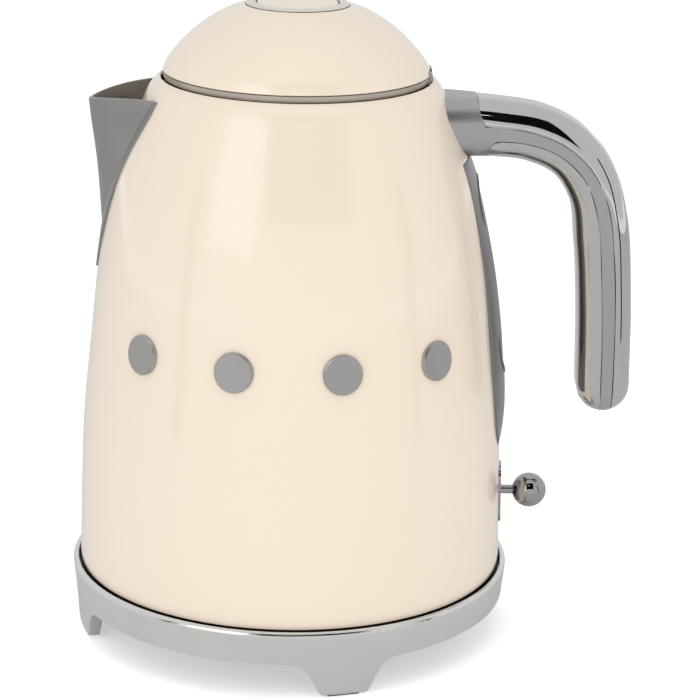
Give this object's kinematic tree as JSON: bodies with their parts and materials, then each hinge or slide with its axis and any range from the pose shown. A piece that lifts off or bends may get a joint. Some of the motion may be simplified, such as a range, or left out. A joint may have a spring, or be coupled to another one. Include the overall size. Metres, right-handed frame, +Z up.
{
  "type": "cordless electric kettle",
  "caption": "Dome-shaped cordless electric kettle with a hinged button lid, spout filter, water gauge, switch lever and a separate round power base.",
  "frame": {"origin": "on the table under the kettle's vertical axis, at the centre of the base", "axes": "+Z up, +X towards the handle, -X towards the spout, +Y away from the front"},
  "size_m": [0.2176, 0.1722, 0.248],
  "materials": {
    "body_paint": "high-gloss cream enamel",
    "skirt_metal": "satin, with a polished rolled lip",
    "spout_steel": "satin stainless",
    "satin_steel": "satin stainless",
    "polished_steel": "mirror polish",
    "handle_satin": "fine satin plating",
    "handle_polish": "mirror-polished plating",
    "gauge_metal": "satin plating",
    "gauge_clear": "clear, slightly smoked, polished",
    "band_metal": "light satin",
    "bezel_metal": "light satin, turned",
    "black_plastic": "fine matt moulding",
    "grey_plastic": "fine matt moulding",
    "filter_mesh": "woven fine mesh",
    "rubber_black": "matt",
    "seal_rubber": "matt silicone",
    "contact_brass": "plated, polished",
    "spreader_aluminium": "milled",
    "fastener_steel": "zinc plated"
  },
  "bodies": {
    "power_base": {"base_skirt": "skirt_metal", "foot_pads": "rubber_black", "base_top_plate": "black_plastic", "base_bottom_cover": "black_plastic", "cord_drum": "black_plastic", "base_screws": "fastener_steel", "cord_grommet": "rubber_black", "cord_clamp": "black_plastic", "base_connector": "black_plastic", "base_contacts": "contact_brass"},
    "centring_collar": {"locating_collar": "grey_plastic"},
    "kettle": {"body_shell": "body_paint", "mouth_ring": "satin_steel", "hinge_pin": "polished_steel", "spout": "spout_steel", "filter_rails": "grey_plastic", "trim_studs": "satin_steel", "heated_floor": "satin_steel", "floor_seal": "seal_rubber", "heat_spreader": "spreader_aluminium", "heating_element": "satin_steel", "control_body": "black_plastic", "pivot_pins": "fastener_steel", "bimetal_disc": "contact_brass", "kettle_connector": "black_plastic", "contact_rings": "contact_brass", "bottom_cover": "black_plastic", "bottom_screws": "fastener_steel", "steam_tube": "grey_plastic", "steam_tube_seal": "seal_rubber", "gauge_frame": "gauge_metal", "gauge_window": "gauge_clear", "gauge_seal": "seal_rubber", "handle_core": "handle_satin", "handle_outer_cover": "handle_polish", "handle_inner_grip": "handle_polish", "handle_bracket": "fastener_steel", "handle_screws": "fastener_steel", "switch_plate": "polished_steel"},
    "spout_filter": {"filter_frame": "grey_plastic", "filter_mesh": "filter_mesh"},
    "switch_lever": {"lever_stem": "polished_steel", "lever_hub": "black_plastic", "lever_ball": "polished_steel"},
    "trip_rocker": {"trip_rocker": "black_plastic"},
    "lid": {"lid_dome": "body_paint", "lid_seam_band": "band_metal", "lid_liner": "black_plastic", "lid_screws": "fastener_steel", "lid_seal": "seal_rubber", "button_bezel": "bezel_metal", "button_spring": "fastener_steel"},
    "lid_button": {"button_cap": "body_paint", "button_plunger": "black_plastic"},
    "lid_latch": {"latch_bolt": "grey_plastic", "latch_spring": "fastener_steel"}
  },
  "joints": [
    {"name": "kettle_swivel", "type": "hinge", "parent": "power_base", "child": "centring_collar", "pos_m": [0, 0, 0.025], "axis": [0, 0, 1], "continuous": true},
    {"name": "kettle_lift", "type": "slide", "parent": "centring_collar", "child": "kettle", "axis": [0, 0, 1], "range_m": [0, 0.12]},
    {"name": "lid_hinge", "type": "hinge", "parent": "kettle", "child": "lid", "pos_m": [0.0494, 0, 0.2209], "axis": [0, 1, 0], "range_deg": [0, 85]},
    {"name": "lid_button_press", "type": "slide", "parent": "lid", "child": "lid_button", "axis": [0, 0, -1], "range_m": [0, 0.003], "stiffness_N_per_m": 400, "springref_m": -0.003, "deforming": ["button_spring"]},
    {"name": "lid_latch_slide", "type": "slide", "parent": "lid", "child": "lid_latch", "axis": [1, 0, 0], "range_m": [0, 0.003]},
    {"name": "switch_lever_tilt", "type": "hinge", "parent": "kettle", "child": "switch_lever", "pos_m": [0.073, 0, 0.0542], "axis": [0, 1, 0], "range_deg": [0, 18]},
    {"name": "trip_rocker_tilt", "type": "hinge", "parent": "kettle", "child": "trip_rocker", "pos_m": [0.048, 0, 0.0476], "axis": [0, 1, 0], "range_deg": [-18, 0]},
    {"name": "filter_lift", "type": "slide", "parent": "kettle", "child": "spout_filter", "axis": [0.309, 0, 0.9511], "range_m": [0, 0.005]}
  ],
  "couplings": [
    {"joint": "lid_latch_slide", "follows": "lid_button_press", "ratio": 1},
    {"joint": "trip_rocker_tilt", "follows": "switch_lever_tilt", "ratio": -1}
  ]
}
